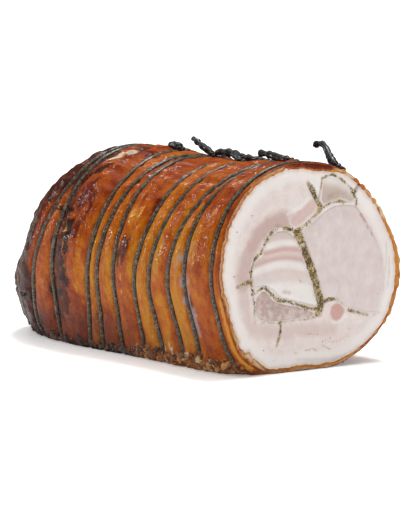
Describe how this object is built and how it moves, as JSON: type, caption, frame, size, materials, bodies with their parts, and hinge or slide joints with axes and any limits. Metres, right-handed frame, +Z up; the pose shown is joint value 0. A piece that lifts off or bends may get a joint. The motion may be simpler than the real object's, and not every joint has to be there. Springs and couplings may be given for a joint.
{
  "type": "porchetta",
  "caption": "Rolled and tied pork roast with glossy browned rind, bound with charred twine and cut across to show the loin, belly and herb stuffing",
  "frame": {"origin": "middle of the flat that the roast rests on", "axes": "+X along the roll towards the cut face, +Z up, -Y towards the side with the plain rind"},
  "size_m": [0.359, 0.1917, 0.1798],
  "materials": {
    "belly_wrap": "glossy browned pork rind over pale fat and meat",
    "loin": "moist pale pink roast loin",
    "loin_cap": "moist grey-pink roast meat",
    "belly_core": "streaky belly, white fat and pink lean in stripes",
    "dark_meat": "moist darker meat",
    "herb_filling": "coarse chopped herbs, garlic and pepper",
    "twine": "charred, greasy twisted cotton twine"
  },
  "bodies": {
    "root": {"belly_wrap": "belly_wrap", "loin": "loin", "loin_cap": "loin_cap", "belly_core": "belly_core", "dark_meat": "dark_meat", "herb_filling": "herb_filling", "twine_01": "twine", "twine_02": "twine", "twine_03": "twine", "twine_04": "twine", "twine_05": "twine", "twine_06": "twine", "twine_07": "twine", "twine_08": "twine", "twine_09": "twine", "twine_10": "twine", "twine_11": "twine"}
  },
  "joints": []
}
